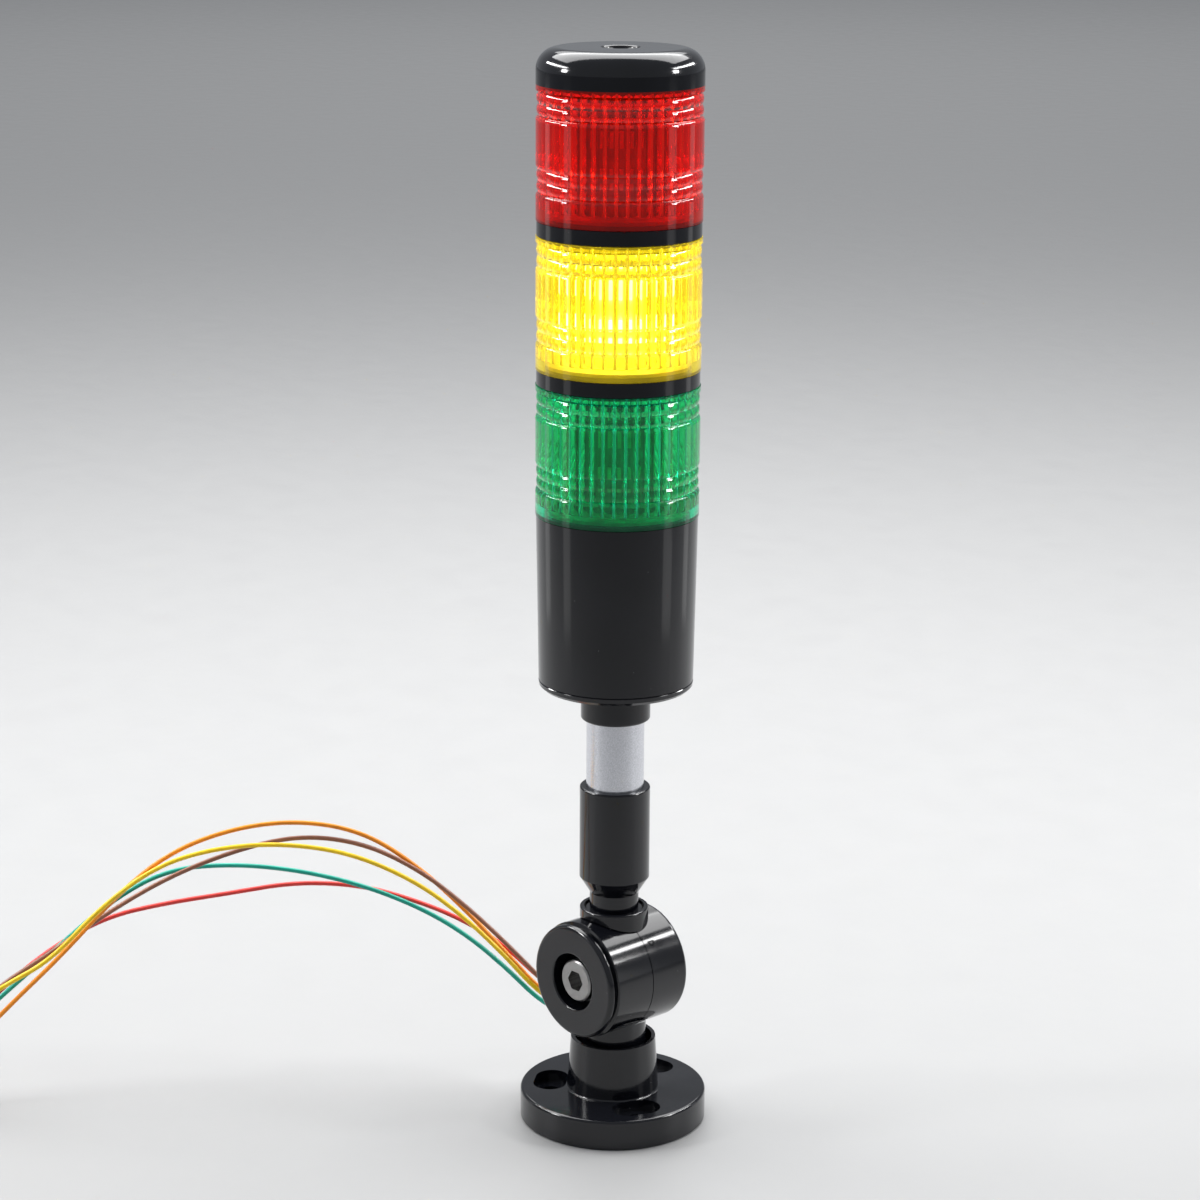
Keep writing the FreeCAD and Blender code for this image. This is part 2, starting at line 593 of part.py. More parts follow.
def lower_knuckle():
    split = "-(split_gap / 2)"
    face = "-(washer_thickness / 2)"
    half = turned_on_hinge("lower_half", [
        (face, "bolt_radius + running"),
        (face, "hub_radius"),
        ("end_wall - front_half", "hub_radius"),
        ("end_wall - front_half", CHAMBER),
        (split, CHAMBER),
        (split, "barrel_radius"),
        ("groove_half - front_half", "barrel_radius"),
        ("-front_half", "barrel_radius - groove_reach"),
        ("-front_half", CUP_RADIUS + " + slip"),
        ("-" + CUP_FLOOR, CUP_RADIUS + " + slip"),
        ("-" + CUP_FLOOR, "bolt_radius + running"),
    ])
    neck = turned("neck", [
        ("0", "shank_end"),
        ("shank_radius", "shank_end"),
        ("shank_radius", "socket_floor"),
        ("neck_radius", "socket_floor"),
        ("neck_radius", "%s - %s / 2" % (HINGE, CHAMBER)),
        ("0", "%s - %s / 2" % (HINGE, CHAMBER)),
    ])
    chamber = cross_rod("lower_chamber", CHAMBER, "end_wall - front_half", "front_half - end_wall")
    swing = cross_rod("lower_swing_room", "barrel_radius + swing_gap", split, "2 * neck_radius")
    wire_way = rod("neck_wire_way", "neck_bore", "%s - %s / 2 - shank_end" % (HINGE, CHAMBER),
                   up="shank_end")
    standing = cut("neck_trimmed", neck, fused("neck_room", chamber, swing))
    joined = fused("lower_joined", half, standing)
    side_way = side_rod("outlet_wire_way", "wire_way_radius", "0", "outlet_flat",
                        OUTLET + " - wire_way_drop")
    outlet = side_rod("outlet", "outlet_radius", "outlet_flat - outlet_depth", "neck_radius",
                      OUTLET)
    flat = side_rod("outlet_flat_cut", "grommet_flange + slip", "outlet_flat", "grommet_lip",
                    OUTLET)
    holes = fused("lower_cuts", wire_way, side_way, outlet, flat)
    finish(cut("lower_knuckle", joined, holes), "lower_knuckle")


def lead_grommet():
    """A solid rubber plug in the outlet; the leads leave its outer face."""
    lip = "(outlet_flat + grommet_lip)"
    inner_end = "outlet_depth - outlet_flat"
    body = turned("lead_grommet", [
        ("-" + lip, "0"),
        (inner_end, "0"),
        (inner_end, "outlet_radius - slip"),
        ("-outlet_flat", "outlet_radius - slip"),
        ("-outlet_flat", "grommet_flange"),
        ("-" + lip + " + grommet_lip / 2", "grommet_flange"),
        ("-" + lip, "grommet_flange - grommet_lip / 2", ("round", "grommet_lip / 2")),
    ], "XZ_Plane", "H_Axis")
    bind(body, "Placement.Base.z", OUTLET)
    finish(body, "lead_grommet")


def hinge_cap():
    back = "-front_half"
    body = turned_on_hinge("hinge_cap", [
        ("-" + HEAD_SEAT, "bolt_radius + running"),
        ("-" + CUP_FLOOR, "bolt_radius + running"),
        ("-" + CUP_FLOOR, CUP_RADIUS),
        (back, CUP_RADIUS),
        (back, "barrel_radius - groove_reach"),
        (back + " - groove_half", "hinge_cap_radius"),
        ("cap_round - " + CAP_FACE, "hinge_cap_radius"),
        ("-" + CAP_FACE, "hinge_cap_radius - cap_round", ("round", "cap_round")),
        ("-" + CAP_FACE, "cap_recess_radius + cap_recess_round"),
        ("cap_recess_round - " + CAP_FACE, "cap_recess_radius", ("round", "cap_recess_round")),
        ("-" + HEAD_SEAT, "cap_recess_radius"),
    ])
    finish(body, "hinge_cap")


def friction_washer():
    body = turned_on_hinge("friction_washer", [
        ("-washer_thickness / 2", "bolt_radius + running"),
        ("washer_thickness / 2", "bolt_radius + running"),
        ("washer_thickness / 2", "washer_radius"),
        ("-washer_thickness / 2", "washer_radius"),
    ])
    finish(body, "friction_washer")


# ---- the swinging part of the base

def upper_knuckle():
    split = "split_gap / 2"
    face = "washer_thickness / 2"
    half = turned_on_hinge("upper_half", [
        (face, "bolt_radius + running"),
        ("back_half", "bolt_radius + running"),
        ("back_half", "barrel_radius - barrel_round"),
        ("back_half - barrel_round", "barrel_radius", ("round", "barrel_round")),
        (split, "barrel_radius"),
        (split, CHAMBER),
        ("back_half - end_wall", CHAMBER),
        ("back_half - end_wall", "hub_radius"),
        (face, "hub_radius"),
    ])
    collar = turned("collar", [
        ("0", HINGE),
        ("collar_radius", HINGE),
        ("collar_radius", COLLAR_TOP + " - collar_round"),
        ("collar_radius - collar_round", COLLAR_TOP, ("round", "collar_round")),
        ("collar_radius - collar_wall", COLLAR_TOP),
        ("collar_radius - collar_wall", RECESS_FLOOR),
        ("spigot_radius", RECESS_FLOOR),
        ("spigot_radius", RECESS_FLOOR + " + spigot_height"),
        ("0", RECESS_FLOOR + " + spigot_height"),
    ])
    chamber = cross_rod("upper_chamber", CHAMBER, "0", "back_half - end_wall")
    swing = cross_rod("upper_swing_room", "barrel_radius + swing_gap",
                      "%s - 2 * collar_radius" % split, "2 * collar_radius")
    wire_way = rod("spigot_wire_way", "spigot_bore",
                   "collar_rise - collar_recess + spigot_height - hub_radius",
                   up=HINGE + " + hub_radius")
    raised = cut("collar_trimmed", collar, fused("collar_room", chamber, swing))
    joined = fused("upper_joined", half, raised)
    pocket = hexagon("nut_pocket", "hinge_nut_flats + 2 * slip", "back_half - nut_seat")
    pocket.Placement.Rotation = FreeCAD.Rotation(Vector(1, 0, 0), -90)
    bind(pocket, "Placement.Base.y", "nut_seat")
    bind(pocket, "Placement.Base.z", HINGE)
    cuts = fused("upper_cuts", wire_way, pocket, mark())
    finish(cut("upper_knuckle", joined, cuts), "upper_knuckle")


def hinge_screw():
    tip = "(nut_seat + hinge_nut_height + bolt_tip_bevel)"
    screw = turned_on_hinge("screw", [
        ("-" + HEAD_FACE, "0"),
        (tip, "0"),
        (tip, "bolt_radius - bolt_tip_bevel"),
        (tip + " - bolt_tip_bevel", "bolt_radius"),
        ("-" + HEAD_SEAT, "bolt_radius"),
        ("-" + HEAD_SEAT, "head_radius"),
        ("head_bevel - " + HEAD_FACE, "head_radius"),
        ("-" + HEAD_FACE, "head_radius - head_bevel"),
    ])
    key = hexagon("key_socket", "key_flats", "key_depth")
    key.Placement.Rotation = FreeCAD.Rotation(Vector(1, 0, 0), -90)
    bind(key, "Placement.Base.y", "-" + HEAD_FACE)
    bind(key, "Placement.Base.z", HINGE)
    finish(cut("hinge_screw", screw, key), "hinge_screw")


def hinge_nut():
    prism = hexagon("hinge_nut_hexagon", "hinge_nut_flats", "hinge_nut_height")
    prism.Placement.Rotation = FreeCAD.Rotation(Vector(1, 0, 0), -90)
    bind(prism, "Placement.Base.y", "nut_seat")
    bind(prism, "Placement.Base.z", HINGE)
    hole = cross_rod("hinge_nut_hole", "bolt_radius + running", "nut_seat", "hinge_nut_height")
    finish(cut("hinge_nut", prism, hole), "hinge_nut")


def pole_sleeve():
    body = turned("sleeve", [
        ("spigot_radius + running", RECESS_FLOOR),
        ("sleeve_foot_radius", RECESS_FLOOR),
        ("sleeve_foot_radius", RECESS_FLOOR + " + sleeve_foot_height"),
        ("sleeve_neck_radius", RECESS_FLOOR + " + sleeve_foot_height"),
        ("sleeve_neck_radius", SLEEVE_TAPER_START),
        ("sleeve_radius", SLEEVE_START),
        ("sleeve_radius", SLEEVE_TOP + " - sleeve_round"),
        ("sleeve_radius - sleeve_round", SLEEVE_TOP, ("round", "sleeve_round")),
        ("pole_radius + slip", SLEEVE_TOP),
        ("pole_radius + slip", POLE_FOOT),
        ("spigot_radius + running", POLE_FOOT),
    ])
    hole = doc.addObject("Part::Cylinder", "set_screw_hole")
    bind(hole, "Radius", "set_screw_radius + running")
    bind(hole, "Height", "sleeve_radius")
    hole.Placement.Rotation = FreeCAD.Rotation(Vector(1, 0, 0), -90)
    bind(hole, "Placement.Base.z", SLEEVE_TOP + " - set_screw_drop")
    finish(cut("pole_sleeve", body, hole), "pole_sleeve")


def pole_set_screw():
    screw = doc.addObject("Part::Cylinder", "pole_set_screw")
    bind(screw, "Radius", "set_screw_radius")
    bind(screw, "Height", "sleeve_radius - pole_radius")
    screw.Placement.Rotation = FreeCAD.Rotation(Vector(1, 0, 0), -90)
    bind(screw, "Placement.Base.y", "pole_radius")
    bind(screw, "Placement.Base.z", SLEEVE_TOP + " - set_screw_drop")
    bore = rod("pole_face", "pole_radius", "4 * set_screw_radius",
               up=SLEEVE_TOP + " - set_screw_drop - 2 * set_screw_radius")
    skin = rod("sleeve_face", "sleeve_radius", "4 * set_screw_radius",
               up=SLEEVE_TOP + " - set_screw_drop - 2 * set_screw_radius")
    long_screw = doc.addObject("Part::Common", "pole_set_screw_outside")
    long_screw.Base = screw
    long_screw.Tool = skin
    finish(cut("pole_set_screw_cut", long_screw, bore), "pole_set_screw")


def pole():
    top = "(%s + pole_nut_thickness + pole_past_nut)" % COVER_FLOOR
    body = turned("pole", [
        ("pole_radius - pole_wall", POLE_FOOT),
        ("pole_radius", POLE_FOOT),
        ("pole_radius", top),
        ("pole_radius - pole_wall", top),
    ])
    finish(body, "pole")
    hex_nut("pole_nut", "pole_nut_flats", "pole_nut_thickness", "pole_radius + running", COVER_FLOOR)


# ---- the body

def body_cover():
    inside = "(%s - slip)" % HOUSING_BORE
    body = turned("body_cover", [
        ("pole_radius + running", BODY_FOOT),
        ("body_boss_radius - body_boss_round", BODY_FOOT),
        ("body_boss_radius", BODY_FOOT + " + body_boss_round", ("round", "body_boss_round")),
        ("body_boss_radius", COVER_FOOT),
        ("cover_bottom_radius", COVER_FOOT),
        ("housing_bottom_radius - seam_bevel / 2", COVER_FOOT + " + cover_round"),
        ("housing_bottom_radius", SEAM + " - seam_bevel"),
        ("housing_bottom_radius - seam_bevel", SEAM),
        (inside, SEAM),
        (inside, SEAM + " + cover_spigot_height"),
        (inside + " - cover_spigot_wall", SEAM + " + cover_spigot_height"),
        (inside + " - cover_spigot_wall", COVER_FLOOR),
        ("pole_radius + running", COVER_FLOOR),
    ])
    pocket_ring(body, "sound_hole_cut", round_spot("sound_circle", "sound_hole"),
                COVER_FLOOR, "cover_floor", "post_count")
    posts = [rod("post_%d" % index, "post_radius", "post_height", POST_CIRCLE, "0",
                 COVER_FLOOR, 60 + 120 * index) for index in range(3)]
    pilots = [rod("pilot_%d" % index, "board_screw_radius", "board_screw_length", POST_CIRCLE,
                  "0", BOARD_SEAT + " - board_screw_length + board_thickness", 60 + 120 * index)
              for index in range(3)]
    solid = fused("cover_with_posts", body, *posts)
    finish(cut("body_cover", solid, fused("pilots", *pilots)), "body_cover")


def body_housing():
    ledge_top = "(%s - base_depth)" % BODY_TOP
    body = turned("body_housing", [
        (HOUSING_BORE, SEAM),
        ("housing_bottom_radius - seam_bevel", SEAM),
        ("housing_bottom_radius", SEAM + " + seam_bevel"),
        ("housing_top_radius", BODY_TOP + " - ring_bevel"),
        ("housing_top_radius - ring_bevel", BODY_TOP),
        ("lens_bore", BODY_TOP),
        ("lens_bore", ledge_top),
        ("lens_bore - ledge_width", ledge_top),
        ("lens_bore - ledge_width", ledge_top + " - ledge_height"),
        (HOUSING_BORE, ledge_top + " - ledge_height - ledge_width"),
    ])
    finish(body, "body_housing")


def electronics():
    board = rod("board_disc", BOARD_RADIUS, "board_thickness", up=BOARD_SEAT)
    holes = [rod("board_hole_%d" % index, "board_screw_radius + running", "board_thickness",
                 POST_CIRCLE, "0", BOARD_SEAT, 60 + 120 * index) for index in range(3)]
    finish(cut("driver_board", board, fused("board_holes", *holes)), "driver_board")
    screws = []
    for index in range(3):
        angle = 60 + 120 * index
        shank = rod("board_shank_%d" % index, "board_screw_radius", "board_screw_length",
                    POST_CIRCLE, "0", BOARD_TOP + " - board_screw_length", angle)
        head = rod("board_head_%d" % index, "board_screw_head", "board_screw_head_height",
                   POST_CIRCLE, "0", BOARD_TOP, angle)
        screws.append(fused("board_screw_%d" % index, shank, head))
    finish(group("board_screws", screws), "board_screws")
    finish(block("wire_connector", "connector_length", "connector_width", "connector_height",
                 "-connector_length / 2", "-connector_width / 2",
                 BOARD_SEAT + " - connector_height"), "wire_connector")
    can = rod("buzzer_can", "buzzer_radius", "buzzer_height", up=BOARD_TOP)
    port = rod("buzzer_port_hole", "buzzer_port", "buzzer_port_depth",
               up=BOARD_TOP + " + buzzer_height - buzzer_port_depth")
    finish(cut("buzzer", can, port), "buzzer")


def inner_leads():
    """Five straight wires from the connector down to the wire way of the upper knuckle."""
    radius = number("lead_radius")
    top = number(BOARD_SEAT) - number("connector_height") - number("slip")
    foot = number(HINGE) + number("barrel_radius") - number("barrel_wall")
    pitch = number("connector_pitch")
    low_places = [(-1.7, 1.3), (-0.85, 2.95), (0.0, 1.3), (0.85, 2.95), (1.7, 1.3)]
    wires = []
    for index, (across, along) in enumerate(low_places):
        start = Vector((index - 2) * pitch, 0, top)
        reach = Vector(across, along, foot) - start
        wires.append(Part.makeCylinder(radius, reach.Length, start, reach))
    finish(shaped("inner_leads", Part.makeCompound(wires)), "inner_leads")


# ---- the tiers

def tier_level(index):
    """Foot of a tier's lens, counted from the lowest tier."""
    return "(%s + %d * (lens_height + ring_height))" % (BODY_TOP, index)


def fluted_core(name, level):
    """The lens's bore with its flutes, as one column with round lobes."""
    count = int(number("flute_count"))
    inner = number("lens_bore")
    outer = inner + number("flute_depth")
    low = number(level) + number("flute_start")
    high = number(level) + number("lens_height") - number("flute_end")
    edges = []
    for index in range(count):
        angles = [2 * math.pi * (index + part) / count for part in (0, 0.5, 1)]
        first, middle, last = [Vector(radius * math.cos(angle), radius * math.sin(angle), low)
                               for radius, angle in zip((inner, outer, inner), angles)]
        edges.append(Part.Arc(first, middle, last).toShape())
    face = Part.Face(Part.Wire(edges))
    return shaped(name, face.extrude(Vector(0, 0, high - low)))


def lens(colour, level):
    neck = "(lens_radius - lens_groove)"
    bulge = ("round", "ring_bulge")
    rise = ("round", "shoulder_round")
    first = "(%s + base_band + shoulder)" % level
    last = "(%s + lens_height - top_band - shoulder / 2)" % level
    body = turned(colour + "_lens", [
        ("lens_bore", level),
        ("lens_radius", level),
        ("lens_radius", "%s + base_band" % level),
        (neck, first, rise),
        (neck, first + " + ring_pitch", bulge),
        (neck, first + " + 2 * ring_pitch", bulge),
        ("lens_radius", first + " + 2 * ring_pitch + shoulder", rise),
        ("lens_radius", last + " - 2 * ring_pitch - shoulder"),
        (neck, last + " - 2 * ring_pitch", rise),
        (neck, last + " - ring_pitch", bulge),
        (neck, last, bulge),
        ("lens_radius", last + " + shoulder / 2"),
        ("lens_radius", "%s + lens_height" % level),
        ("lens_bore", "%s + lens_height" % level),
    ])
    finish(cut(colour + "_lens", body, fluted_core(colour + "_flutes", level)), colour + "_lens")


def tier_base(colour, level, in_body):
    depth = "base_depth" if in_body else "ring_height"
    wall = "(%s - tier_wall)" % SPIGOT_RADIUS
    foot = "(%s - %s)" % (level, depth)
    section = [("rod_radius + slip", foot)]
    if in_body:
        section += [(SPIGOT_RADIUS, foot)]
    else:
        section += [
            (wall, foot),
            (wall, foot + " - tier_skirt"),
            (SPIGOT_RADIUS, foot + " - tier_skirt"),
            (SPIGOT_RADIUS, foot),
            ("ring_radius - ring_bevel", foot),
            ("ring_radius", foot + " + ring_bevel"),
            ("ring_radius", level + " - ring_bevel"),
            ("ring_radius - ring_bevel", level),
            (SPIGOT_RADIUS, level),
        ]
    section += [
        (SPIGOT_RADIUS, level + " + tier_spigot"),
        (wall, level + " + tier_spigot"),
        (wall, foot + " + tier_floor"),
        ("rod_radius + slip", foot + " + tier_floor"),
    ]
    body = turned(colour + "_base", section)
    pocket_ring(body, colour + "_pin_holes", round_spot("pin_circle", "(pin_radius + running)"),
                foot + " + tier_floor", "tier_floor", "pin_count")
    finish(body, colour + "_base")
    return foot


def round_board(colour, level):
    """The board that lies on the rim of the tier base, round the lamp boards."""
    seat = level + " + tier_spigot"
    edge = "(%s - plate_margin)" % SPIGOT_RADIUS
    body = turned(colour + "_round_board", [
        ("lamp_board_reach + plate_gap", seat),
        (edge, seat),
        (edge, seat + " + plate_thickness"),
        ("lamp_board_reach + plate_gap", seat + " + plate_thickness"),
    ])
    finish(body, colour + "_round_board")


def lamp_column(colour, level, floor):
    """Four upright boards round the tie rod, each with two lamps on its outer face."""
    boards = []
    lamps = []
    for quarter in range(4):
        angle = 45 + 90 * quarter
        boards.append(block("%s_board_%d" % (colour, quarter), "lamp_board_thickness",
                            "lamp_board_width", "lamp_board_height",
                            "lamp_board_reach - lamp_board_thickness", "-lamp_board_width / 2",
                            floor, angle))
        for row, height in enumerate(("lower_lamp", "upper_lamp")):
            lamps.append(block("%s_lamp_%d_%d" % (colour, quarter, row), "lamp_thickness",
                               "lamp_width", "lamp_width", "lamp_board_reach", "-lamp_width / 2",
                               "%s + %s - lamp_width / 2" % (level, height), angle))
    finish(group(colour + "_boards", boards), colour + "_boards")
    finish(group(colour + "_leds", lamps), colour + "_leds")


def tiers():
    pins = []
    wires = []
    for index, colour in enumerate(TIERS):
        level = tier_level(index)
        foot = tier_base(colour, level, in_body=(index == 0))
        round_board(colour, level)
        lamp_column(colour, level, foot + " + tier_floor")
        lens(colour, level)
        for quarter in range(4):
            pins.append(rod("%s_pin_%d" % (colour, quarter), "pin_radius",
                            "tier_floor + 2 * pin_reach", "pin_circle", "0",
                            foot + " - pin_reach", 90 * quarter))
            if index == 0:
                wires.append(rod("tier_wire_%d" % quarter, "tier_lead_radius",
                                 "%s - pin_reach - %s" % (foot, BOARD_TOP), "pin_circle", "0",
                                 BOARD_TOP, 90 * quarter))
    finish(group("contact_pins", pins), "contact_pins")
    finish(group("tier_leads", wires), "tier_leads")


def cap():
    top = "(%s + cap_height)" % CAP_FOOT
    inside = "(%s - cap_wall)" % top
    insert_top = "(%s - cap_boss_drop + insert_length)" % CAP_FOOT
    body = turned("cap", [
        ("insert_radius", CAP_FOOT + " - cap_boss_drop"),
        ("cap_boss_radius", CAP_FOOT + " - cap_boss_drop"),
        ("cap_boss_radius", inside),
        ("lens_radius - cap_top_round", inside),
        (SPIGOT_RADIUS + " - tier_wall", CAP_FOOT + " + cap_wall"),
        (SPIGOT_RADIUS + " - tier_wall", CAP_FOOT + " - tier_skirt"),
        (SPIGOT_RADIUS, CAP_FOOT + " - tier_skirt"),
        (SPIGOT_RADIUS, CAP_FOOT),
        ("lens_radius", CAP_FOOT),
        ("lens_radius", top + " - cap_top_round"),
        ("lens_radius - cap_top_round", top, ("round", "cap_top_round")),
        ("dish_radius + dish_round", top),
        ("dish_radius", top + " - dish_round", ("round", "dish_round")),
        ("dish_radius - dish_depth + dish_round", top + " - dish_depth"),
        ("rod_radius + slip", top + " - dish_depth"),
        ("rod_radius + slip", insert_top),
        ("insert_radius", insert_top),
    ])
    finish(body, "cap")
    insert = turned("cap_insert", [
        ("rod_radius + running", CAP_FOOT + " - cap_boss_drop"),
        ("insert_radius", CAP_FOOT + " - cap_boss_drop"),
        ("insert_radius", insert_top),
        ("rod_radius + running", insert_top),
    ])
    finish(insert, "cap_insert")


def tie_rod():
    base_foot = "(%s - base_depth)" % BODY_TOP
    rod_foot = "(%s - rod_below)" % base_foot
    finish(rod("tie_rod", "rod_radius", "%s + rod_in_cap - %s" % (CAP_FOOT, rod_foot),
               up=rod_foot), "tie_rod")
    washer = turned("rod_washer", [
        ("rod_radius + running", base_foot + " - rod_washer_thickness"),
        ("rod_washer_radius", base_foot + " - rod_washer_thickness"),
        ("rod_washer_radius", base_foot),
        ("rod_radius + running", base_foot),
    ])
    finish(washer, "rod_washer")
    hex_nut("rod_nut", "rod_nut_flats", "rod_nut_height", "rod_radius + running",
            base_foot + " - rod_washer_thickness - rod_nut_height")


# ---- the flying leads

def lead_points(lead):
    """The whole route: out of the grommet, then through the chosen points."""
    heading = math.radians(number("lead_heading"))
    along = Vector(math.cos(heading), math.sin(heading), 0)
    aside = Vector(math.sin(heading), -math.cos(heading), 0)
    shift, lift = lead["seat"]
    face = number("outlet_flat") + number("grommet_lip")
    start = Vector(-face, shift, number(OUTLET) + lift)
    points = [start, start - Vector(number("lead_run"), 0, 0)]
    points += [along * out + aside * back + Vector(0, 0, up) for out, back, up in lead["route"]]
    return points


def rounded_path(points):
    """Straight runs joined by tangent arcs, as large as their two runs allow."""
    edges = []
    radii = []
    here = points[0]
    for before, corner, after in zip(points, points[1:], points[2:]):
        arriving, leaving = corner - before, after - corner
        half_turn = arriving.getAngle(leaving) / 2
        setback = 0.45 * min(arriving.Length, leaving.Length)
        radius = setback / math.tan(half_turn)
        arriving.normalize()
        leaving.normalize()
        arc_start = corner - arriving * setback
        arc_end = corner + leaving * setback
        towards_centre = (leaving - arriving).normalize()
        middle = corner + towards_centre * (radius / math.cos(half_turn) - radius)
        edges.append(Part.LineSegment(here, arc_start).toShape())
        edges.append(Part.Arc(arc_start, middle, arc_end).toShape())
        radii.append(radius)
        here = arc_end
    edges.append(Part.LineSegment(here, points[-1]).toShape())
    return Part.Wire(edges), radii


def leads():
    radius = number("lead_radius")
    tips = []
    for colour, lead in LEADS.items():
        points = lead_points(lead)
        path, radii = rounded_path(points)
        first_way = (points[1] - points[0]).normalize()
        section = Part.Wire(Part.makeCircle(radius, points[0], first_way))
        tube = path.makePipeShell([section], True, False)
        wanted = math.pi * radius ** 2 * path.Length
        print("lead_%s: length %.1f, tightest arc %.1f, volume / (section x length) %.4f" %
              (colour, path.Length, min(radii), tube.Volume / wanted))
        print("   arcs " + " ".join("%.0f" % value for value in radii))
        finish(shaped("lead_" + colour, tube), "lead_" + colour)
        last_way = points[-1] - points[-2]
        tips.append(Part.makeCylinder(number("tip_radius"), number("tip_length"), points[-1],
                                      last_way))
    finish(shaped("lead_tips", Part.makeCompound(tips)), "lead_tips")


def check_and_export():
    doc.recompute()
    for thing in doc.Objects:
        if "Invalid" in thing.State or "Error" in thing.State:
            raise RuntimeError("%s is %s" % (thing.Name, thing.State))
    for label, thing in nodes.items():
        if thing.Shape.isNull() or not thing.Shape.isValid():
            raise RuntimeError(label + " has no valid shape")
    os.makedirs("parts", exist_ok=True)
    for label, thing in nodes.items():
        thing.Shape.exportStep("parts/%s.step" % label)
        print("%-18s solids %2d  volume %9.1f mm3" %
              (label, len(thing.Shape.Solids), thing.Shape.Volume))


fill_sheet()
base_flange()
neck_fixing()
lower_knuckle()
lead_grommet()
hinge_cap()
friction_washer()
upper_knuckle()
hinge_screw()
hinge_nut()
pole_sleeve()
pole_set_screw()
pole()
body_cover()
body_housing()
electronics()
inner_leads()
tiers()
cap()
tie_rod()
leads()
check_and_export()
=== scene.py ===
"""Looks of the three-tier stack light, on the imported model. Metres, in the model's frame."""
import math
import bmesh
import bpy
from mathutils import Matrix, Vector


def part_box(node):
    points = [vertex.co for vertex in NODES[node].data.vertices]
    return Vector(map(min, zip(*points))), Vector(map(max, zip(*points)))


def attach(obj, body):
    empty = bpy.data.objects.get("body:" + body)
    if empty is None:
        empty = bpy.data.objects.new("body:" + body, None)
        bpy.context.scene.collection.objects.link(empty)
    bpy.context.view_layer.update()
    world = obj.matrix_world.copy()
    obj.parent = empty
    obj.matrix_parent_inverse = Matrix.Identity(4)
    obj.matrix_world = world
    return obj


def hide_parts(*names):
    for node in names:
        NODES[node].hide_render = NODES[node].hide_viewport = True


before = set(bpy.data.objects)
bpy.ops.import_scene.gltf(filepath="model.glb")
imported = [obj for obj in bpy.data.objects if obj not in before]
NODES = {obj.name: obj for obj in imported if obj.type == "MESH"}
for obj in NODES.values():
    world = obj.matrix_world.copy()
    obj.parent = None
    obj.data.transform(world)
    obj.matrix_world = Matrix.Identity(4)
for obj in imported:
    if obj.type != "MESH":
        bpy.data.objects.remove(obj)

MM = 0.001
FULL_TURN = 2 * math.pi
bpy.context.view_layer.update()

# The camera stands in front of the hinge screw and to its right, and looks a little down.
# Angles are in degrees, distances in metres, and the lens and the sensor in millimetres.
CAMERA_AZIMUTH = 47.5
CAMERA_DISTANCE = 0.937
CAMERA_HEIGHT = 0.4209
CAMERA_SIDE = 0.00139
CAMERA_PITCH = 14.99
CAMERA_YAW = -0.393
CAMERA_ROLL = 0.364
CAMERA_LENS = 94.8
CAMERA_SENSOR = 36
CAMERA_NEAREST = 0.01
CAMERA_FARTHEST = 60

# The room: a floor of this half width, and an even pale light from everywhere.
FLOOR_REACH = 8
FLOOR_COLOUR = (0.33, 0.33, 0.33)
ROOM_COLOUR = (0.9, 0.94, 1.0)
ROOM_STRENGTH = 0.36

# Lamps: place and target as (right, away, up) from the camera's side, width and height in
# metres, and power in watts. Each of the side lamps stands once on the left and once on the
# right.
MIDDLE_LAMPS = {
    "overhead": ((0, 0.5, 1.0), (0, 0.55, 0), 1.6, 0.85, 24),
    "far": ((0, 3.4, 2.6), (0, 3.45, 0), 3.0, 2.4, 50),
}
SIDE_LAMPS = {
    "long": ((0.62, 0.2, 0.6), (0, 0.2, 0.3), 0.6, 0.06, 3),
    "spot": ((0.64, -0.1, 0.46), (0, 0, 0.3), 0.1, 0.12, 1.6),
    "low": ((0.42, -0.12, 0.16), (0, 0, 0.2), 0.09, 0.24, 0.04),
    "rim": ((0.42, 0.19, 0.16), (0, 0, 0.2), 0.09, 0.24, 0.04),
}

# How much each plastic bends light.
ABS_IOR = 1.53
PVC_IOR = 1.53
POLYCARBONATE_IOR = 1.5

